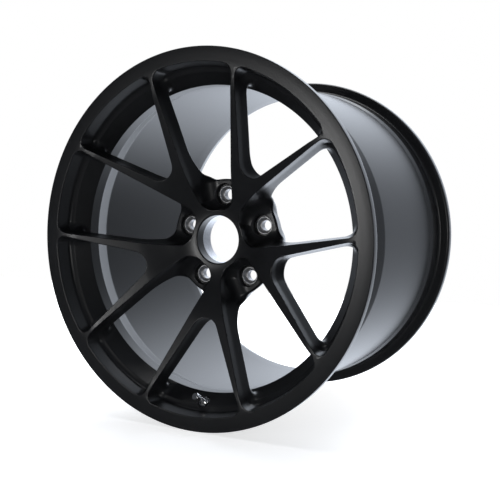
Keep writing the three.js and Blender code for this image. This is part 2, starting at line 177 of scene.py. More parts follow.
def rounded(corners, closed=True, steps=24):
    """An outline from corners (x, y) or (x, y, radius), with each corner rounded by its radius."""
    points = []
    last = len(corners) - 1
    for i, corner in enumerate(corners):
        radius = corner[2] if len(corner) > 2 else 0
        if not closed and i in (0, last):
            radius = 0
        after = corners[(i + 1) % len(corners)]
        points.extend(arc_through(corners[i - 1], corner, after, radius, steps))
    return np.array(points)


def bezier(start, bend, end, steps=60):
    """Points of a quadratic curve, without its last one."""
    t = np.linspace(0, 1, steps, endpoint=False)[:, None]
    start, bend, end = (np.array(p, float) for p in (start, bend, end))
    return (1 - t) ** 2 * start + 2 * t * (1 - t) * bend + t ** 2 * end


class DistanceMap:
    """Signed distance to a closed outline, negative inside, kept on a fine grid."""

    def __init__(self, outline, low, high, step):
        self.low, self.step = np.array(low, float), step
        self.shape = [math.ceil((b - a) / step) + 2 for a, b in zip(low, high)]
        x = low[0] + step * np.arange(self.shape[0])
        y = low[1] + step * np.arange(self.shape[1])
        a, b = outline, np.roll(outline, -1, axis=0)
        edge = b - a
        length = np.maximum((edge ** 2).sum(1), 1e-12)
        self.values = np.empty(self.shape)
        for i, column in enumerate(x):
            px, py = column - a[:, 0], y[:, None] - a[:, 1]
            t = np.clip((px * edge[:, 0] + py * edge[:, 1]) / length, 0, 1)
            distance = np.hypot(px - t * edge[:, 0], py - t * edge[:, 1]).min(1)
            crosses = (a[:, 1] > y[:, None]) != (b[:, 1] > y[:, None])
            rise = np.where(edge[:, 1] == 0, 1, edge[:, 1])
            left = px < py * edge[:, 0] / rise
            inside = (crosses & left).sum(1) % 2 == 1
            self.values[i] = np.where(inside, -distance, distance)

    def __call__(self, x, y):
        i = np.clip((x - self.low[0]) / self.step, 0, self.shape[0] - 1.001)
        j = np.clip((y - self.low[1]) / self.step, 0, self.shape[1] - 1.001)
        i0, j0 = i.astype(int), j.astype(int)
        i, j = i - i0, j - j0
        v = self.values
        return ((v[i0, j0] * (1 - i) + v[i0 + 1, j0] * i) * (1 - j)
                + (v[i0, j0 + 1] * (1 - i) + v[i0 + 1, j0 + 1] * i) * j)


def spoke_plan():
    """One Y in plan: u across the spoke, w outwards from the axis."""
    reach = FLANGE_RADIUS + 10
    start = ARM_OUTER["start"]
    neck = (STEM["neck"], STEM["neck_at"])
    centre = FORK["w"] + FORK["radius"]
    turn = -math.atan(ARM_INNER_LEAN)
    angles = np.linspace(turn, -math.pi / 2, 60)
    crotch = np.stack([FORK["radius"] * np.cos(angles), centre + FORK["radius"] * np.sin(angles)], 1)
    half = np.concatenate([
        bezier((STEM["root"], STEM["foot"]), (STEM["neck"], STEM["bend_at"]), neck),
        bezier(neck, ARM_OUTER["bend"], start),
        [start,
         (start[0] + ARM_OUTER["lean"] * (reach - start[1]), reach),
         (crotch[0, 0] + ARM_INNER_LEAN * (reach - crotch[0, 1]), reach)],
        crotch,
    ])
    return np.concatenate([half, half[-2::-1] * [-1, 1]])


PAST = 20  # how far a section runs on past the metal that it cuts or ends in


def rim_inside():
    """Section of the rim's material seen from the axis: radius, depth."""
    front = -60
    outside = 300
    lean = (LIP_INNER_RADIUS - LIP_FOOT[0]) / LIP_FOOT[1]
    return rounded([
        (outside, front),
        (LIP_INNER_RADIUS - lean * front, front),
        (*LIP_FOOT, 6),
        (*LIP_ROOT, 0.8),
        (WELL["inner"], WELL["start"], 0.6),
        (WELL["inner"], WELL["end"], 2),
        (BARREL_FRONT["inner"], BARREL_FRONT["inner_depth"], 10),
        (BARREL_REAR["inner"], BARREL_REAR["depth"]),
        (outside, BARREL_REAR["depth"]),
    ], steps=60)


def hub_section():
    """Half section of the hub behind its pockets' floor. It runs past the axis, as the bores' do."""
    return rounded([
        (-PAST, POCKET_DEPTH),
        (HUB_RADIUS, POCKET_DEPTH, 3),
        (PAD_RADIUS + PAD_CHAMFER, PAD_DEPTH - PAD_CHAMFER, 1.5),
        (PAD_RADIUS, PAD_DEPTH, PAD_EDGE),
        (-PAST, PAD_DEPTH),
    ], steps=60)


def bore_section():
    """Half section of what the centre bore takes out, with a chamfer at both ends."""
    gap = 0.1
    ring = CENTRING_RING["outer"] + gap
    return rounded([
        (-PAST, HUB_FACE_DEPTH - PAST),
        (FRONT_BORE_RADIUS + FRONT_BORE_CHAMFER + PAST, HUB_FACE_DEPTH - PAST),
        (FRONT_BORE_RADIUS, HUB_FACE_DEPTH + FRONT_BORE_CHAMFER),
        (FRONT_BORE_RADIUS, CENTRING_RING["front"] - gap),
        (ring, CENTRING_RING["front"] - gap),
        (ring, PAD_DEPTH - PAD_EDGE),
        (ring + PAD_EDGE + PAST, PAD_DEPTH + PAST),
        (-PAST, PAD_DEPTH + PAST),
    ])


def lug_section():
    """Half section of what a bolt's counterbore and the hole for its seat take out."""
    gap = 0.05
    return rounded([
        (-PAST, 0),
        (COUNTERBORE["radius"], 0),
        (COUNTERBORE["radius"], COUNTERBORE["depth"], 1),
        (LUG_SEAT["radius"] + gap, COUNTERBORE["depth"]),
        (LUG_SEAT["radius"] + gap, LUG_SEAT["step"] + gap),
        (LUG_SEAT["neck"] + gap, LUG_SEAT["step"] + gap),
        (LUG_SEAT["neck"] + gap, PAD_DEPTH + PAST),
        (-PAST, PAD_DEPTH + PAST),
    ])


# ---------------------------------------------------------------- the valve's own frame

WASHER = {"inner": 5.75, "outer": 7.8, "low": -1.5, "high": -0.3}
VALVE_AXIS = (node_centre("valve_cap_gasket") - node_centre("valve_seal_outer")).normalized()
VALVE_ORIGIN = node_centre("valve_washer") - VALVE_AXIS * (WASHER["low"] + WASHER["high"]) / 2 * MM
SPOT_FACE = {"radius": 8.6, "floor": -3.6}


# ---------------------------------------------------------------- the forging as a distance function

def round_max(a, b, radius):
    """Both solids: a convex edge of that radius where they meet."""
    return (np.minimum(np.maximum(a, b), -radius)
            + np.hypot(np.maximum(a + radius, 0), np.maximum(b + radius, 0)))


def round_min(a, b, radius):
    """Either solid: a fillet of that radius where they meet."""
    return (np.maximum(np.minimum(a, b), radius)
            - np.hypot(np.maximum(radius - a, 0), np.maximum(radius - b, 0)))


class Forging:
    """Signed distance to the forging's face side. Points are x, depth and z in mm."""

    def __init__(self):
        """Each map covers its outline and the fillets round it, from a low corner to a high one."""
        self.plan = DistanceMap(spoke_plan(), (0, 25), (175, 265), 0.5)
        self.rim = DistanceMap(rim_inside(), (195, -6), (262, 130), 0.25)
        self.hub = DistanceMap(hub_section(), (30, 60), (110, 130), 0.25)
        self.bore = DistanceMap(bore_section(), (20, 60), (60, 125), 0.25)
        self.lug = DistanceMap(lug_section(), (0, 55), (30, 130), 0.25)

    def profile(self, radius, depth):
        """Height above the spokes' sloping face: steep off the hub, then shallower out to the lip."""
        steep = HUB_SLOPE * (SHOULDER["radius"] - radius) + SHOULDER["depth"] - depth
        arm = ARM_SLOPE * (FACE_END_RADIUS - radius) - depth
        return round_max(steep / math.hypot(1, HUB_SLOPE), arm / math.hypot(1, ARM_SLOPE), FACE_BEND)

    def face(self, radius, depth):
        """Height above the face: a flat hub, the slope, and the flat lip."""
        slope = round_min(HUB_FACE_DEPTH - depth, self.profile(radius, depth), FACE_BEND)
        return round_max(-depth, slope, LIP_BEND)

    def rear(self, radius, depth):
        """Height behind the spokes' rear side: parallel to the face, with a haunch down to the hub."""
        arm = depth - SPOKE_THICKNESS - ARM_SLOPE * (FACE_END_RADIUS - radius)
        haunch = depth - HAUNCH["depth"] - HAUNCH["slope"] * (HAUNCH["radius"] - radius)
        slope = round_min(arm / math.hypot(1, ARM_SLOPE), haunch / math.hypot(1, HAUNCH["slope"]), HAUNCH_BEND)
        return round_max(depth - PAD_DEPTH + PAD_CHAMFER, slope, REAR_EDGE)

    def __call__(self, x, depth, z):
        """The spokes, ring, hub and rim joined by fillets, then cut by the face and the holes."""
        radius = np.hypot(x, z)
        turn = (np.arctan2(z, x) - FIRST_BOLT) / PITCH
        from_bolt = np.abs(turn - np.round(turn)) * PITCH
        from_spoke = PITCH / 2 - from_bolt
        face = self.face(radius, depth)
        below = -face
        past_crease = (below - CREASE_DEPTH + np.hypot(below - CREASE_DEPTH, CREASE_SOFTNESS)) / 2
        draft = UPPER_DRAFT * np.maximum(below, 0) + (LOWER_DRAFT - UPPER_DRAFT) * past_crease
        side = self.plan(radius * np.sin(from_spoke), radius * np.cos(from_spoke)) - draft
        solid = round_max(side, self.rear(radius, depth), REAR_EDGE)
        ring = np.maximum(radius - BORE_RING_RADIUS - UPPER_DRAFT * below,
                          depth - POCKET_DEPTH - BORE_RING_REACH)
        solid = round_min(solid, ring, BORE_RING_FILLET)
        solid = round_min(solid, self.hub(radius, depth), HUB_FILLET)
        solid = round_max(solid, depth - PAD_DEPTH, PAD_EDGE)
        solid = round_min(solid, self.rim(radius, depth), RIM_FILLET)
        solid = round_max(solid, face, EDGE)
        solid = round_max(solid, -self.bore(radius, depth), BORE_EDGE)
        across = np.hypot(radius * np.cos(from_bolt) - BOLT_RADIUS, radius * np.sin(from_bolt))
        solid = round_max(solid, -self.lug(across, depth), LUG_EDGE)
        return round_max(solid, -self.spot_face(x, depth, z), SPOT_EDGE)

    def spot_face(self, x, depth, z):
        """The round flat milled into the rim's cone band under the valve nut."""
        origin = VALVE_ORIGIN / MM
        px, py, pz = x - origin.x, depth + LIP_Y - origin.y, z - origin.z
        along = px * VALVE_AXIS.x + py * VALVE_AXIS.y + pz * VALVE_AXIS.z
        away = np.sqrt(np.maximum(px ** 2 + py ** 2 + pz ** 2 - along ** 2, 0))
        return np.maximum(away - SPOT_FACE["radius"], SPOT_FACE["floor"] - along)

    def gradient(self, points, reach=0.2):
        """Unit normals at points (n, 3)."""
        slope = np.empty_like(points)
        for axis in range(3):
            ahead, behind = points.copy(), points.copy()
            ahead[:, axis] += reach
            behind[:, axis] -= reach
            slope[:, axis] = self(*ahead.T) - self(*behind.T)
        return slope / np.maximum(np.linalg.norm(slope, axis=1), 1e-9)[:, None]

    def settle(self, points, rounds=4):
        """Moves points onto the surface and returns them with their normals."""
        for _ in range(rounds):
            step = np.clip(self(*points.T), -2, 2)
            points = points - self.gradient(points) * step[:, None]
        return points, self.gradient(points)


def spread(*stops):
    """Grid positions from (position, step) stops, each step used up to the next position."""
    values = [stops[0][0]]
    for (start, step), (end, _) in zip(stops, stops[1:]):
        count = max(1, round((end - start) / step))
        values.extend(np.linspace(start, end, count + 1)[1:])
    return np.array(values)


def surface_net(forging, columns):
    """Quads of the face side between the lip face and the barrel, on a polar grid.

    Returns the points, the quads, and the two open rings of points in column order."""
    radii = spread((32, 1.9), (96, 4), (224, 2.6), (251, 1))
    depths = spread((-3.2, 3), (50, 3.2), (66, 2.3), (118, 1))
    angles = np.arange(columns) * 2 * math.pi / columns
    theta, radius, depth = np.meshgrid(angles, radii, depths, indexing="ij")
    value = forging(radius * np.cos(theta), depth, radius * np.sin(theta))
    inside = value < 0

    def shifted(array, columns_on):
        return np.roll(array, -columns_on, axis=0)

    corners = [(a, b, c) for a in (0, 1) for b in (0, 1) for c in (0, 1)]

    def corner(array, a, b, c):
        moved = shifted(array, a)
        return moved[:, b:moved.shape[1] - 1 + b, c:moved.shape[2] - 1 + c]

    count = sum(corner(inside, *k).astype(int) for k in corners)
    mixed = (count > 0) & (count < 8)
    index = np.full(mixed.shape, -1)
    index[mixed] = np.arange(mixed.sum())
    total = np.zeros((mixed.sum(), 3))
    crossings = np.zeros(mixed.sum())
    for first in corners:
        for axis in range(3):
            if first[axis]:
                continue
            second = tuple(1 if i == axis else k for i, k in enumerate(first))
            va, vb = corner(value, *first)[mixed], corner(value, *second)[mixed]
            cut = (va < 0) != (vb < 0)
            t = np.where(cut, va / np.where(cut, va - vb, 1), 0)
            place = np.array(first, float)[None, :].repeat(len(t), 0)
            place[:, axis] = t
            total += place * cut[:, None]
            crossings += cut
    place = total / crossings[:, None]
    j, i, k = np.nonzero(mixed)
    theta = (j + place[:, 0]) * 2 * math.pi / columns
    radius = radii[i] + place[:, 1] * np.diff(radii)[i]
    depth = depths[k] + place[:, 2] * np.diff(depths)[k]
    points = np.stack([radius * np.cos(theta), depth, radius * np.sin(theta)], 1)

    quads = []
    mask = inside != shifted(inside, 1)
    j, i, k = np.nonzero(mask[:, 1:-1, 1:-1])
    i, k = i + 1, k + 1
    ring = [index[j, i - 1, k - 1], index[j, i, k - 1], index[j, i, k], index[j, i - 1, k]]
    quads.append((np.stack(ring, 1), inside[j, i, k]))
    mask = inside[:, :-1] != inside[:, 1:]
    j, i, k = np.nonzero(mask[:, :, 1:-1])
    k = k + 1
    ring = [index[j - 1, i, k - 1], index[j - 1, i, k], index[j, i, k], index[j, i, k - 1]]
    quads.append((np.stack(ring, 1), inside[j, i, k]))
    mask = inside[:, :, :-1] != inside[:, :, 1:]
    j, i, k = np.nonzero(mask[:, 1:-1])
    i = i + 1
    ring = [index[j - 1, i - 1, k], index[j, i - 1, k], index[j, i, k], index[j - 1, i, k]]
    quads.append((np.stack(ring, 1), inside[j, i, k]))
    faces = np.concatenate([np.where(flip[:, None], q, q[:, ::-1]) for q, flip in quads])

    lip_cell = np.searchsorted(depths, 0) - 1
    lip_ring = index[:, -1, lip_cell]
    last = index[:, :, -1]
    barrel_ring = last[np.arange(columns), (last >= 0).argmax(1)]
    return points, faces, lip_ring, barrel_ring


def triangles_from(points, quads):
    """Each quad cut along its shorter diagonal."""
    a, b, c, d = (points[quads[:, i]] for i in range(4))
    short = np.linalg.norm(a - c, axis=1) <= np.linalg.norm(b - d, axis=1)
    q = np.where(short[:, None], quads, np.roll(quads, -1, axis=1))
    return np.concatenate([q[:, [0, 1, 2]], q[:, [0, 2, 3]]])


def refine(forging, points, normals, triangles, turn, shortest):
    """Splits the triangle edges across which the surface turns, so that every fillet is smooth."""
    edges = np.sort(np.concatenate([triangles[:, [0, 1]], triangles[:, [1, 2]], triangles[:, [2, 0]]]), 1)
    unique, back = np.unique(edges, axis=0, return_inverse=True)
    back = back.reshape(3, -1).T
    a, b = unique.T
    cosine = (normals[a] * normals[b]).sum(1)
    length = np.linalg.norm(points[a] - points[b], axis=1)
    split = (cosine < math.cos(turn)) & (length > shortest)
    middle, middle_normals = forging.settle((points[a[split]] + points[b[split]]) / 2)
    number = np.full(len(unique), -1)
    number[split] = len(points) + np.arange(split.sum())
    points = np.concatenate([points, middle])
    normals = np.concatenate([normals, middle_normals])
    mid = number[back]
    marked = (mid >= 0).sum(1)
    made = [triangles[marked == 0]]

    for turns in range(3):
        tri = np.roll(triangles, -turns, axis=1)
        m = np.roll(mid, -turns, axis=1)
        one = (marked == 1) & (m[:, 0] >= 0)
        t, k = tri[one], m[one]
        made.append(np.stack([t[:, 0], k[:, 0], t[:, 2]], 1))
        made.append(np.stack([k[:, 0], t[:, 1], t[:, 2]], 1))
        two = (marked == 2) & (m[:, 2] < 0)
        t, k = tri[two], m[two]
        made.append(np.stack([k[:, 0], t[:, 1], k[:, 1]], 1))
        across = np.linalg.norm(points[t[:, 0]] - points[k[:, 1]], axis=1)
        other = np.linalg.norm(points[t[:, 2]] - points[k[:, 0]], axis=1)
        near = across <= other
        made.append(np.where(near[:, None], np.stack([t[:, 0], k[:, 0], k[:, 1]], 1),
                             np.stack([t[:, 0], k[:, 0], t[:, 2]], 1)))
        made.append(np.where(near[:, None], np.stack([t[:, 0], k[:, 1], t[:, 2]], 1),
                             np.stack([k[:, 0], k[:, 1], t[:, 2]], 1)))
    t, k = triangles[marked == 3], mid[marked == 3]
    for corner in range(3):
        made.append(np.stack([t[:, corner], k[:, corner], k[:, corner - 1]], 1))
    made.append(k)
    return points, normals, np.concatenate(made)


BARREL_MEETING = (BARREL_FRONT["inner"] + 0.7, PAD_DEPTH + 6)  # where the turned side meets the net


def rim_outside():
    """Section of the rim's outside, from the lip face round the tyre side to the barrel's inside."""
    bead_low = BEAD_RADIUS - BEAD_DROP
    seat_end = FLANGE_THICKNESS + BEAD_SEAT_END
    rear = RIM_WIDTH - FLANGE_THICKNESS
    rear_seat_end = rear - BEAD_SEAT_END
    return rounded([
        (LIP_FLAT_START, 0),
        (FLANGE_RADIUS, 0, RIM_CORNER),
        (FLANGE_RADIUS, FLANGE_THICKNESS, FLANGE_ROLL["outer"]),
        (BEAD_RADIUS + BEAD_HEEL["rise"], FLANGE_THICKNESS, FLANGE_ROLL["inner"]),
        (BEAD_RADIUS, FLANGE_THICKNESS + BEAD_HEEL["depth"], 2),
        (bead_low, seat_end + FRONT_HUMP["start"], 2),
        (bead_low + HUMP_HEIGHT, seat_end + FRONT_HUMP["peak"], 1.5),
        (bead_low - HUMP_HEIGHT, seat_end + FRONT_HUMP["end"], 2),
        (WELL["outer"], WELL["outer_start"], 4),
        (WELL["outer"], WELL["end"], 4),
        (BARREL_FRONT["outer"], BARREL_FRONT["outer_depth"], 20),
        (BARREL_REAR["outer"], BARREL_REAR["depth"], 6),
        (bead_low + HUMP_HEIGHT, rear_seat_end + REAR_HUMP["peak"], 1.5),
        (bead_low, rear_seat_end + REAR_HUMP["start"], 2),
        (BEAD_RADIUS, rear - BEAD_HEEL["depth"], 2),
        (BEAD_RADIUS + BEAD_HEEL["rise"], rear, FLANGE_ROLL["inner"]),
        (FLANGE_RADIUS, rear, FLANGE_ROLL["outer"]),
        (FLANGE_RADIUS, RIM_WIDTH, RIM_CORNER),
        (LIP_INNER_RADIUS, RIM_WIDTH, RIM_CORNER),
        (BARREL_MOUTH["radius"], rear - BARREL_MOUTH["before_flange"], 6),
        (BARREL_REAR["inner"], BARREL_REAR["depth"], 6),
        BARREL_MEETING,
    ], closed=False, steps=14)[1:-1]


def turned_side(columns):
    """The rim's outside and most of its bore as rings of points, with their normals."""
    tail = [(BARREL_REAR["inner"] - BARREL_SLOPE * (BARREL_REAR["depth"] - depth), depth)
            for depth in BARREL_ROWS]
    section = np.concatenate([rim_outside(), tail])
    ahead = np.concatenate([section[1:], [BARREL_MEETING]])
    before = np.concatenate([[(LIP_FLAT_START, 0)], section[:-1]])
    first, second = section - before, ahead - section
    first /= np.linalg.norm(first, axis=1)[:, None]
    second /= np.linalg.norm(second, axis=1)[:, None]
    tangent = first + second
    tangent /= np.linalg.norm(tangent, axis=1)[:, None]
    lift = np.stack([tangent[:, 1], -tangent[:, 0]], 1)
    angles = (np.arange(columns) + 0.5) * 2 * math.pi / columns

    def swept(pairs):
        """(radius, depth) pairs carried round the axis: rows of x, depth and z."""
        radius, depth = pairs[:, :1], pairs[:, 1:]
        return np.stack([radius * np.cos(angles), depth + 0 * angles, radius * np.sin(angles)], 2)

    return swept(section), swept(lift)


def forged_skin():
    """Points, normals, triangles and quads of the whole forging, in mm."""
    forging = Forging()
    columns = 360
    points, quads, lip_ring, barrel_ring = surface_net(forging, columns)
    points, normals = forging.settle(points)
    triangles = triangles_from(points, quads)
    for _ in range(3):
        points, normals, triangles = refine(forging, points, normals, triangles, math.radians(20), 1)
    side, side_normals = turned_side(columns)
    turned_rows = [len(points) + i * columns + np.arange(columns) for i in range(len(side))]
    rows = [lip_ring, *turned_rows, barrel_ring]
    strips = []
    for near, far in zip(rows, rows[1:]):
        strips.append(np.stack([near, far, np.roll(far, -1), np.roll(near, -1)], 1))
    points = np.concatenate([points, side.reshape(-1, 3)])
    normals = np.concatenate([normals, side_normals.reshape(-1, 3)])
    return points, normals, triangles, np.concatenate(strips)


def skin_mesh(name, points, normals, triangles, quads):
    """A Blender mesh from points in mm, with the given normals."""
    points = (points + [0, LIP_Y, 0]) * MM
    sizes = np.concatenate([np.full(len(triangles), 3), np.full(len(quads), 4)])
    corners = np.concatenate([triangles.ravel(), quads.ravel()])
    mesh = bpy.data.meshes.new(name)
    mesh.vertices.add(len(points))
    mesh.vertices.foreach_set("co", points.astype(np.float32).ravel())
    mesh.loops.add(len(corners))
    mesh.loops.foreach_set("vertex_index", corners.astype(np.int32))
    mesh.polygons.add(len(sizes))
    mesh.polygons.foreach_set("loop_start", (np.cumsum(sizes) - sizes).astype(np.int32))
    mesh.update(calc_edges=True)
    mesh.validate()
    mesh.polygons.foreach_set("use_smooth", np.ones(len(mesh.polygons), bool))
    mesh.normals_split_custom_set_from_vertices(normals.astype(np.float32))
    return mesh


# ---------------------------------------------------------------- turned pieces

def turned(name, profile, place, sides=64, shape=None, sharp=32):
    """A solid of revolution from a closed outline of (radius, height), set by the matrix place.

    shape(radius, height, angle) may change the radius of each point; points on the axis are joined."""
    angles = np.arange(sides) * 2 * math.pi / sides
    vertices, faces, rows = [], [], []
    for radius, height in profile:
        if radius < 1e-6:
            rows.append([len(vertices)] * sides)
            vertices.append((0, 0, height))
            continue
        rows.append(range(len(vertices), len(vertices) + sides))
        for angle in angles:
            r = shape(radius, height, angle) if shape else radius
            vertices.append((r * math.cos(angle), r * math.sin(angle), height))
    for row, after in zip(rows, rows[1:] + rows[:1]):
        for i in range(sides):
            j = (i + 1) % sides
            corners = [row[i], row[j], after[j], after[i]]
            face = [v for n, v in enumerate(corners) if v not in corners[:n]]
            if len(face) > 2:
                faces.append(face)
    mesh = bpy.data.meshes.new(name)
    mesh.from_pydata([Vector(v) * MM for v in vertices], [], faces)
    return finished(name, mesh, place, sharp)


def finished(name, mesh, place, sharp):
    """The mesh as an object of the scene, facing outwards, with its corners kept crisp."""
    work = bmesh.new()
    work.from_mesh(mesh)
    bmesh.ops.recalc_face_normals(work, faces=work.faces)
    work.to_mesh(mesh)
    work.free()
    mesh.transform(place)
    mesh.shade_smooth()
    mesh.set_sharp_from_angle(angle=math.radians(sharp))
    thing = bpy.data.objects.new(name, mesh)
    bpy.context.scene.collection.objects.link(thing)
    return thing


def along_axis(origin, direction):
    """A matrix that sets local Z on a direction from an origin, in metres."""
    turn = Vector(direction).to_track_quat("Z", "X").to_matrix().to_4x4()
    return Matrix.Translation(origin) @ turn


def add(thing, body, slot, material, *nodes):
    """Puts a piece on its body, with its material, in place of CAD nodes. The slot argument is not used."""
    thing.data.materials.clear()
    thing.data.materials.append(material)
    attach(thing, body)
    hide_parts(*nodes)
    return thing


# ---------------------------------------------------------------- materials

def new_material(name):
    """A material with its tree, its shader and the object's own coordinates in metres."""
    material = bpy.data.materials.new(name)
    material.use_nodes = True
    tree = material.node_tree
    shader = tree.nodes["Principled BSDF"]
    coordinates = tree.nodes.new("ShaderNodeTexCoord")
    return material, tree, shader, coordinates.outputs["Object"]


def noise(tree, vector, scale, detail=3, roughness=0.5):
    """Noise with that many waves to the metre."""
    texture = tree.nodes.new("ShaderNodeTexNoise")
    texture.inputs["Scale"].default_value = scale
    texture.inputs["Detail"].default_value = detail
    texture.inputs["Roughness"].default_value = roughness
    tree.links.new(vector, texture.inputs["Vector"])
    return texture.outputs["Fac"]


def ramp(tree, factor, *stops):
    """Colour stops (position, (r, g, b)) along a factor."""
    colours = tree.nodes.new("ShaderNodeValToRGB")
    elements = colours.color_ramp.elements
    while len(elements) < len(stops):
        elements.new(0.5)
    for element, (position, colour) in zip(elements, stops):
        element.position = position
        element.color = (*colour, 1)
    tree.links.new(factor, colours.inputs["Fac"])
    return colours.outputs["Color"]


def spread_value(tree, factor, low, high):
    """A factor of 0 to 1 stretched between two values."""
    stretch = tree.nodes.new("ShaderNodeMapRange")
    stretch.inputs["To Min"].default_value = low
    stretch.inputs["To Max"].default_value = high
    tree.links.new(factor, stretch.inputs["Value"])
    return stretch.outputs["Result"]


def bump(tree, shader, height, distance, strength):
    """Relief of that depth in metres on the shader's normal."""
    relief = tree.nodes.new("ShaderNodeBump")
    relief.inputs["Distance"].default_value = distance
    relief.inputs["Strength"].default_value = strength
    tree.links.new(height, relief.inputs["Height"])
    tree.links.new(relief.outputs["Normal"], shader.inputs["Normal"])


def satin_black():
    """Satin black powder coat: a fine orange peel and slight clouding of colour and gloss."""
    material, tree, shader, vector = new_material("satin_black_coat")
    cloud = noise(tree, vector, 14, 4)
    speck = noise(tree, vector, 1500, 2)
    peel = noise(tree, vector, 520, 2, 0.4)
    colour = ramp(tree, cloud, (0.3, (0.0075, 0.0078, 0.0088)), (0.7, (0.0100, 0.0104, 0.0117)))
    tree.links.new(colour, shader.inputs["Base Color"])
    tree.links.new(spread_value(tree, speck, 0.26, 0.35), shader.inputs["Roughness"])
    bump(tree, shader, peel, 0.00004, 0.5)
    shader.inputs["IOR"].default_value = 1.5
    return material


def turned_metal(name, dark, bright, low, high, centre, axis, groove):
    """Bright metal with the fine rings that a lathe leaves round an axis."""
    material, tree, shader, vector = new_material(name)
    away = tree.nodes.new("ShaderNodeVectorMath")
    away.operation = "SUBTRACT"
    away.inputs[1].default_value = centre
    tree.links.new(vector, away.inputs[0])
    across = tree.nodes.new("ShaderNodeVectorMath")
    across.operation = "CROSS_PRODUCT"
    across.inputs[1].default_value = axis
    tree.links.new(away.outputs[0], across.inputs[0])
    radius = tree.nodes.new("ShaderNodeVectorMath")
    radius.operation = "LENGTH"
    tree.links.new(across.outputs[0], radius.inputs[0])
    height = tree.nodes.new("ShaderNodeVectorMath")
    height.operation = "DOT_PRODUCT"
    height.inputs[1].default_value = axis
    tree.links.new(away.outputs[0], height.inputs[0])
    ring_place = tree.nodes.new("ShaderNodeCombineXYZ")
    tree.links.new(radius.outputs["Value"], ring_place.inputs["X"])
    tree.links.new(height.outputs["Value"], ring_place.inputs["Y"])
    rings = noise(tree, ring_place.outputs[0], groove, 2)
    grain = noise(tree, vector, 260, 3)
    colour = ramp(tree, grain, (0.3, dark), (0.7, bright))
    tree.links.new(colour, shader.inputs["Base Color"])
    tree.links.new(spread_value(tree, rings, low, high), shader.inputs["Roughness"])
    bump(tree, shader, rings, 0.00003, 0.5)
    shader.inputs["Metallic"].default_value = 1
    return material


def plated(name, dark, bright, low, high):
    """Plated or cast metal with a slightly uneven shine."""
    material, tree, shader, vector = new_material(name)
    grain = noise(tree, vector, 420, 3)
    fine = noise(tree, vector, 2600, 2)
    tree.links.new(ramp(tree, grain, (0.3, dark), (0.7, bright)), shader.inputs["Base Color"])
    tree.links.new(spread_value(tree, grain, low, high), shader.inputs["Roughness"])
    bump(tree, shader, fine, 0.00001, 0.4)
    shader.inputs["Metallic"].default_value = 1
    return material


def moulded_rubber():
    """Black rubber with a faint bloom and fine pores."""
    material, tree, shader, vector = new_material("moulded_rubber")
    bloom = noise(tree, vector, 600, 3)
    pores = noise(tree, vector, 3200, 2)
    colour = ramp(tree, bloom, (0.3, (0.008, 0.008, 0.008)), (0.75, (0.02, 0.02, 0.021)))
    tree.links.new(colour, shader.inputs["Base Color"])
    tree.links.new(spread_value(tree, bloom, 0.65, 0.85), shader.inputs["Roughness"])
    bump(tree, shader, pores, 0.00003, 0.5)
    return material


def pale_floor():
    """White paper, very slightly uneven, with a painted glow, weaker in front and stronger behind, that
    brightens it to run out into the background and fills in the wheel's shadow on it.
    """
    material, tree, shader, vector = new_material("pale_floor")
    tone = noise(tree, vector, 3, 2)
    colour = ramp(tree, tone, (0.3, (0.90, 0.90, 0.90)), (0.7, (0.93, 0.93, 0.93)))
    tree.links.new(colour, shader.inputs["Base Color"])
    shader.inputs["Roughness"].default_value = 0.9
    shader.inputs["Specular IOR Level"].default_value = 0.1
    # Painted glow: the floor emits light of its own, graded along Y, which lifts it to white and washes out
    # the wheel's cast shadow.
    shader.inputs["Emission Color"].default_value = (1, 1, 1, 1)
    place = tree.nodes.new("ShaderNodeSeparateXYZ")
    tree.links.new(vector, place.inputs[0])
    glow = tree.nodes.new("ShaderNodeMapRange")
    for socket, value in zip(("From Min", "From Max", "To Min", "To Max"), FLOOR_GLOW):
        glow.inputs[socket].default_value = value
    tree.links.new(place.outputs["Y"], glow.inputs["Value"])
    tree.links.new(glow.outputs["Result"], shader.inputs["Emission Strength"])
    return material


# ---------------------------------------------------------------- the pieces

WHEEL_AXIS = (0, 1, 0)


def rim_place(x=0.0, z=0.0):
    """The frame of a piece turned about the wheel's axis or one parallel to it: height is depth."""
    return along_axis(Vector((x, LIP_Y * MM, z)), WHEEL_AXIS)


def make_forging(coat):
    """Rim, hub and spokes as the one piece that they are."""
    thing = bpy.data.objects.new("forged_wheel", skin_mesh("forged_wheel", *forged_skin()))
    bpy.context.scene.collection.objects.link(thing)
    numbers = range(1, SPOKES + 1)
    add(thing, "wheel", "black_coat", coat,
        "rim_front_flange", "rim_drop_well", "rim_barrel", "rim_rear_flange", "hub_bore_ring",
        *[f"spoke_{n}" for n in numbers], *[f"lug_boss_{n}" for n in numbers])


def make_lug_seats():
    """Pressed-in steel seats, each with a ball-shaped mouth for the bolt's shoulder."""
    mouth_depth = COUNTERBORE["depth"]
    seat_end = PAD_DEPTH - 0.3
    chamfer = 0.4
    curve = []
    for t in np.linspace(0, 1, 9):
        wave = t * math.pi / 2
        curve.append((LUG_SEAT["bore"] + (LUG_SEAT["mouth"] - LUG_SEAT["bore"]) * math.sin(wave),
                      LUG_SEAT["throat"] + (mouth_depth - LUG_SEAT["throat"]) * (1 - math.cos(wave))))
    outside = rounded([
        (LUG_SEAT["mouth"], mouth_depth),
        (LUG_SEAT["radius"], mouth_depth, 0.3),
        (LUG_SEAT["radius"], LUG_SEAT["step"], 0.3),
        (LUG_SEAT["neck"], LUG_SEAT["step"]),
        (LUG_SEAT["neck"], seat_end, chamfer),
        (LUG_SEAT["bore"] + chamfer, seat_end),
        (LUG_SEAT["bore"], seat_end - chamfer),
    ], closed=False)
    profile = curve[:-1] + [tuple(p) for p in outside]
    for number in range(1, SPOKES + 1):
        centre = node_centre(f"lug_seat_{number}")
        steel = turned_metal(f"turned_steel_{number}", (0.50, 0.50, 0.51), (0.66, 0.66, 0.67), 0.42, 0.58,
                             centre, WHEEL_AXIS, 1700)
        seat = turned(f"lug_seat_insert_{number}", profile, rim_place(centre.x, centre.z), 96)
        add(seat, "wheel", "seat_steel", steel, f"lug_seat_{number}")


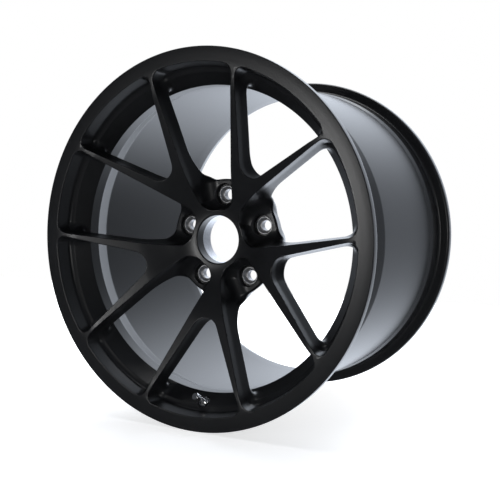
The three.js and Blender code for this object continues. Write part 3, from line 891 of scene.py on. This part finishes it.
def make_centring_ring():
    """The bright ring in the bore that sits on the car's spigot, with a lead-in chamfer behind."""
    lead_in = 1.5
    profile = rounded([
        (SPIGOT_RADIUS, CENTRING_RING["front"], 0.5),
        (CENTRING_RING["outer"], CENTRING_RING["front"], 0.4),
        (CENTRING_RING["outer"], CENTRING_RING["rear"], 0.4),
        (SPIGOT_RADIUS + lead_in, CENTRING_RING["rear"]),
        (SPIGOT_RADIUS, CENTRING_RING["rear"] - lead_in),
    ])
    ring_metal = turned_metal("turned_aluminium", (0.60, 0.61, 0.64), (0.74, 0.75, 0.78), 0.32, 0.46,
                              (0, 0, 0), WHEEL_AXIS, 1500)
    ring = turned("centring_ring_insert", profile, rim_place(), 160)
    add(ring, "wheel", "ring_aluminium", ring_metal, "hub_centring_ring")


# The valve's heights are along its own axis, from the cone band that it passes through.
THREAD = {"radius": 3.85, "depth": 0.42, "pitch": 0.794, "low": 7.4, "high": 26.6, "fade": 0.6}
STEM_TOP = 26.8
STEM_MOUTH_RADIUS = 3.5
HEAD = {"radius": 8.5, "low": -16, "high": -13}
SHANK = {"radius": 5.4, "top": 6.2}
AIRWAY = {"radius": 2.2, "top": 7.6}
CHAMBER = {"radius": 2.9, "floor": 8.6}
NUT = {"corner": 7.6, "height": 5, "bore": 5.7, "bevel": 1.7}
CAP = {"radius": 5, "low": 19.5, "high": 29.8, "bore": 4.25, "roof": 28.2}
KNURLS = {"count": 30, "depth": 0.16, "start": 20.3, "end": 27.8}
GASKET = {"radius": 3.85, "low": 27.1, "high": 27.9, "edge": 0.25}
HEX_FLATS = math.cos(math.pi / 6)


def threaded(low, high):
    """Radius of a screw thread between two heights, fading in and out at its ends."""
    def shape(radius, height, angle):
        fade = min(1, max(0, (height - low) / THREAD["fade"]), max(0, (high - height) / THREAD["fade"]))
        turn = (height / THREAD["pitch"] - angle / (2 * math.pi)) % 1
        return radius - fade * THREAD["depth"] * abs(2 * turn - 1)
    return shape


def hexagonal(radius, height, angle):
    """A hexagon whose corners are turned off by a cone at both faces."""
    if radius < NUT["corner"] - 0.01:
        return radius
    sector = (angle + math.pi / 6) % (math.pi / 3) - math.pi / 6
    flat = NUT["corner"] * HEX_FLATS / math.cos(sector)
    edge = min(height, NUT["height"] - height)
    return min(flat, NUT["corner"] * HEX_FLATS + 0.1 + NUT["bevel"] * edge)


def knurled(radius, height, angle):
    """Straight knurling round the cap's grip."""
    if radius < CAP["radius"] - 0.01 or not KNURLS["start"] < height < KNURLS["end"]:
        return radius
    return radius - KNURLS["depth"] * (1 + math.cos(KNURLS["count"] * angle))


def make_stem(place, nickel):
    """The valve's tube: a head with turned edges, a plain shank, a thread, and a stepped airway."""
    edge = 0.3
    threads = [(THREAD["radius"], s) for s in np.arange(THREAD["low"], THREAD["high"], 0.1)]
    profile = [
        (AIRWAY["radius"], HEAD["low"]),
        (HEAD["radius"] - 0.5, HEAD["low"]),
        (HEAD["radius"], HEAD["low"] + 0.5),
        (HEAD["radius"], HEAD["high"] - edge),
        (HEAD["radius"] - edge, HEAD["high"]),
        (SHANK["radius"], HEAD["high"]),
        (SHANK["radius"], SHANK["top"]),
        *threads,
        (STEM_MOUTH_RADIUS, STEM_TOP),
        (CHAMBER["radius"], STEM_TOP),
        (CHAMBER["radius"], CHAMBER["floor"]),
        (AIRWAY["radius"], AIRWAY["top"]),
    ]
    thread = threaded(THREAD["low"] + 0.2, THREAD["high"] - 0.2)
    stem = turned("valve_stem_body", profile, place, 48, thread, 50)
    add(stem, "wheel", "valve_nickel", nickel, "valve_stem")


def make_cap(place, nickel):
    """The knurled cap with its domed edge."""
    grip = [(CAP["radius"], s) for s in np.linspace(CAP["low"] + 0.3, CAP["high"] - 1.2, 16)]
    profile = [
        (CAP["bore"], CAP["low"]),
        (CAP["radius"] - 0.3, CAP["low"]),
        *grip,
        (CAP["radius"] - 0.2, CAP["high"] - 0.5),
        (CAP["radius"] - 0.9, CAP["high"]),
        (0, CAP["high"]),
        (0, CAP["roof"]),
        (CAP["bore"], CAP["roof"]),
    ]
    cap = turned("valve_cap_knurled", profile, place, 240, knurled, 35)
    add(cap, "cap", "valve_nickel", nickel, "valve_cap")


def make_gasket(place, rubber):
    """The flat disc under the cap's roof."""
    bottom, top = (0, GASKET["low"]), (0, GASKET["high"])
    rim = rounded([
        bottom,
        (GASKET["radius"], GASKET["low"], GASKET["edge"]),
        (GASKET["radius"], GASKET["high"], GASKET["edge"]),
        top,
    ], closed=False)[1:-1]
    gasket = turned("valve_gasket_disc", [bottom, *[tuple(p) for p in rim], top], place, 64)
    add(gasket, "cap_gasket", "seal_rubber", rubber, "valve_cap_gasket")


def make_valve():
    """The tyre valve: stem, cap, nut, washer and seals, and new finishes on the core's CAD pieces."""
    place = along_axis(VALVE_ORIGIN, VALVE_AXIS)
    nickel = plated("polished_nickel", (0.70, 0.70, 0.71), (0.86, 0.86, 0.87), 0.08, 0.2)
    brass = plated("bright_brass", (0.55, 0.37, 0.13), (0.72, 0.50, 0.20), 0.2, 0.35)
    rubber = moulded_rubber()
    make_stem(place, nickel)
    make_cap(place, nickel)
    flats = [(NUT["corner"], s) for s in np.linspace(0, NUT["height"], 11)]
    nut = turned("valve_hex_nut", [(NUT["bore"], 0), *flats, (NUT["bore"], NUT["height"])],
                 place, 96, hexagonal, 25)
    add(nut, "wheel", "valve_nickel", nickel, "valve_nut")
    # Each ring: its name, its node, (inner radius, outer radius, low, high) and the radius of its edges.
    washer = (WASHER["inner"], WASHER["outer"], WASHER["low"], WASHER["high"])
    rings = [
        ("valve_washer_disc", "valve_washer", washer, 0.25, "valve_nickel", nickel),
        ("valve_seal_outer_ring", "valve_seal_outer", (5.75, 7.8, -12.7, -10.8), 0.6, "seal_rubber", rubber),
        ("valve_seal_inner_ring", "valve_seal_inner", (5.75, 7.4, -3.3, -1.8), 0.5, "seal_rubber", rubber),
        ("valve_core_seal_ring", "valve_core_seal", (2.0, 2.6, 10.3, 12.3), 0.2, "seal_rubber", rubber),
    ]
    for name, node, (inner, outer, low, high), edge, slot, material in rings:
        profile = rounded([(inner, low, edge), (outer, low, edge), (outer, high, edge), (inner, high, edge)])
        add(turned(name, profile, place, 64), "wheel", slot, material, node)
    make_gasket(place, rubber)
    for node in ("valve_core_body", "valve_core_pin"):
        refinish(node, brass)
    refinish("valve_core_spring", nickel)


def refinish(name, material):
    """A CAD node that stays in view, with a finished material."""
    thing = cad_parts[name]
    thing.data.materials.clear()
    thing.data.materials.append(material)


# ---------------------------------------------------------------- studio

# The floor's painted glow, which fills in the wheel's shadow: from and to along Y, and the strength at each.
FLOOR_GLOW = (-0.3, 0.2, 0.55, 1.0)
FLOOR_FRONT = -0.75
FLOOR_BACK = 1.4
FLOOR_REACH = 30
# Brightness of the room by direction: (start, end, value at start, value at end) along X, Y or Z.
COVE = {"behind": (-0.1, 0.75, 0.0, 2.3), "side": (-0.1, 0.55, 1.0, 0.14), "left": (-0.8, -0.3, 0.1, 1.0),
        "above": (0.15, 0.8, 0.0, 1.1), "above_from": (-0.5, 0.4, 0.0, 1.0), "dark": 0.06}
COVE_TINT = (0.88, 0.95, 1.06)
# Soft boxes: name, place, width, height and power.
BOXES = [
    ("front_box", (-0.68, -2.09, 0.15), 0.35, 0.5, 6.5),
    ("side_box", (1.3, -1.75, 0.1), 0.4, 0.4, 4),
    ("top_box", (-0.3, 0.6, 2.6), 2.4, 2.4, 60),
]
# Distances in metres from the middle of the lip, along the view and across it.
CAMERA = {"lens": 55.05, "azimuth": 29.067, "elevation": 2.682, "away": 1.03479, "right": 0.08055,
          "up": -0.00596}


def make_floor():
    """A white sheet under the wheel, left out of reflections, which see only the room."""
    rows = 24
    height = CAD_BOX[0].z
    across = np.linspace(-FLOOR_REACH, FLOOR_REACH, rows + 1)
    deep = np.linspace(FLOOR_FRONT, FLOOR_BACK, rows + 1)
    vertices = [(x, y, height) for y in deep for x in across]
    starts = [j * (rows + 1) + i for j in range(rows) for i in range(rows)]
    faces = [(n, n + 1, n + rows + 2, n + rows + 1) for n in starts]
    mesh = bpy.data.meshes.new("studio_floor")
    mesh.from_pydata(vertices, [], faces)
    mesh.materials.append(pale_floor())
    floor = bpy.data.objects.new("studio_floor", mesh)
    floor.visible_glossy = False
    bpy.context.scene.collection.objects.link(floor)


def make_camera():
    """The camera stands in front of the wheel and to its right, just above its centre."""
    azimuth, elevation = math.radians(CAMERA["azimuth"]), math.radians(CAMERA["elevation"])
    back = Vector((math.sin(azimuth) * math.cos(elevation), -math.cos(azimuth) * math.cos(elevation),
                   math.sin(elevation)))
    right = Vector((math.cos(azimuth), math.sin(azimuth), 0))
    up = back.cross(right)
    data = bpy.data.cameras.new("camera")
    data.lens = CAMERA["lens"]
    data.sensor_width = 36  # mm
    camera = bpy.data.objects.new("camera", data)
    lip = Vector((0, LIP_Y * MM, 0))
    camera.location = lip + back * CAMERA["away"] + right * CAMERA["right"] + up * CAMERA["up"]
    camera.rotation_euler = (-back).to_track_quat("-Z", "Y").to_euler()
    bpy.context.scene.collection.objects.link(camera)
    bpy.context.scene.camera = camera


def make_world():
    """A white cove behind the wheel and a darker room in front of it; the camera sees plain white."""
    world = bpy.data.worlds.new("studio")
    world.use_nodes = True
    tree = world.node_tree
    tree.nodes.clear()
    output = tree.nodes.new("ShaderNodeOutputWorld")
    direction = tree.nodes.new("ShaderNodeTexCoord").outputs["Generated"]
    split = tree.nodes.new("ShaderNodeSeparateXYZ")
    tree.links.new(direction, split.inputs[0])

    def blend(source, start, end, low, high):
        step = tree.nodes.new("ShaderNodeMapRange")
        step.interpolation_type = "SMOOTHSTEP"
        for socket, value in (("From Min", start), ("From Max", end), ("To Min", low), ("To Max", high)):
            step.inputs[socket].default_value = value
        tree.links.new(source, step.inputs["Value"])
        return step.outputs["Result"]

    def combine(operation, a, b):
        maths = tree.nodes.new("ShaderNodeMath")
        maths.operation = operation
        tree.links.new(a, maths.inputs[0])
        if isinstance(b, float):
            maths.inputs[1].default_value = b
        else:
            tree.links.new(b, maths.inputs[1])
        return maths.outputs[0]

    behind = blend(split.outputs["Y"], *COVE["behind"])
    side = combine("MULTIPLY", blend(split.outputs["X"], *COVE["left"]),
                   blend(split.outputs["X"], *COVE["side"]))
    above = combine("MULTIPLY", blend(split.outputs["Z"], *COVE["above"]),
                    blend(split.outputs["Y"], *COVE["above_from"]))
    level = combine("MAXIMUM", combine("MULTIPLY", behind, side), above)
    room = combine("MAXIMUM", level, COVE["dark"])
    tint = tree.nodes.new("ShaderNodeMix")
    tint.data_type = "RGBA"
    tint.clamp_factor = False
    tint.inputs["A"].default_value = (0, 0, 0, 1)
    tint.inputs["B"].default_value = (*COVE_TINT, 1)
    tree.links.new(room, tint.inputs["Factor"])
    lit = tree.nodes.new("ShaderNodeBackground")
    tree.links.new(tint.outputs["Result"], lit.inputs["Color"])
    plain = tree.nodes.new("ShaderNodeBackground")
    plain.inputs["Color"].default_value = (1, 1, 1, 1)
    seen = tree.nodes.new("ShaderNodeLightPath").outputs["Is Camera Ray"]
    choose = tree.nodes.new("ShaderNodeMixShader")
    tree.links.new(seen, choose.inputs[0])
    tree.links.new(lit.outputs[0], choose.inputs[1])
    tree.links.new(plain.outputs[0], choose.inputs[2])
    tree.links.new(choose.outputs[0], output.inputs["Surface"])
    bpy.context.scene.world = world


def soft_light(name, place, target, width, height, power):
    """A soft box that lights the wheel and isn't in the picture itself."""
    data = bpy.data.lights.new(name, "AREA")
    data.shape = "RECTANGLE"
    data.size, data.size_y = width, height
    data.energy = power
    light = bpy.data.objects.new(name, data)
    light.location = place
    light.rotation_euler = (Vector(target) - Vector(place)).to_track_quat("-Z", "Y").to_euler()
    light.visible_camera = False
    bpy.context.scene.collection.objects.link(light)


def make_lights():
    """Every soft box, aimed at the wheel's middle."""
    for name, place, width, height, power in BOXES:
        soft_light(name, place, (0, 0, 0), width, height, power)


# ---------------------------------------------------------------- scene

bpy.context.scene.view_settings.view_transform = "Standard"
make_camera()
make_world()
make_lights()
make_floor()
make_forging(satin_black())
make_lug_seats()
make_centring_ring()
make_valve()
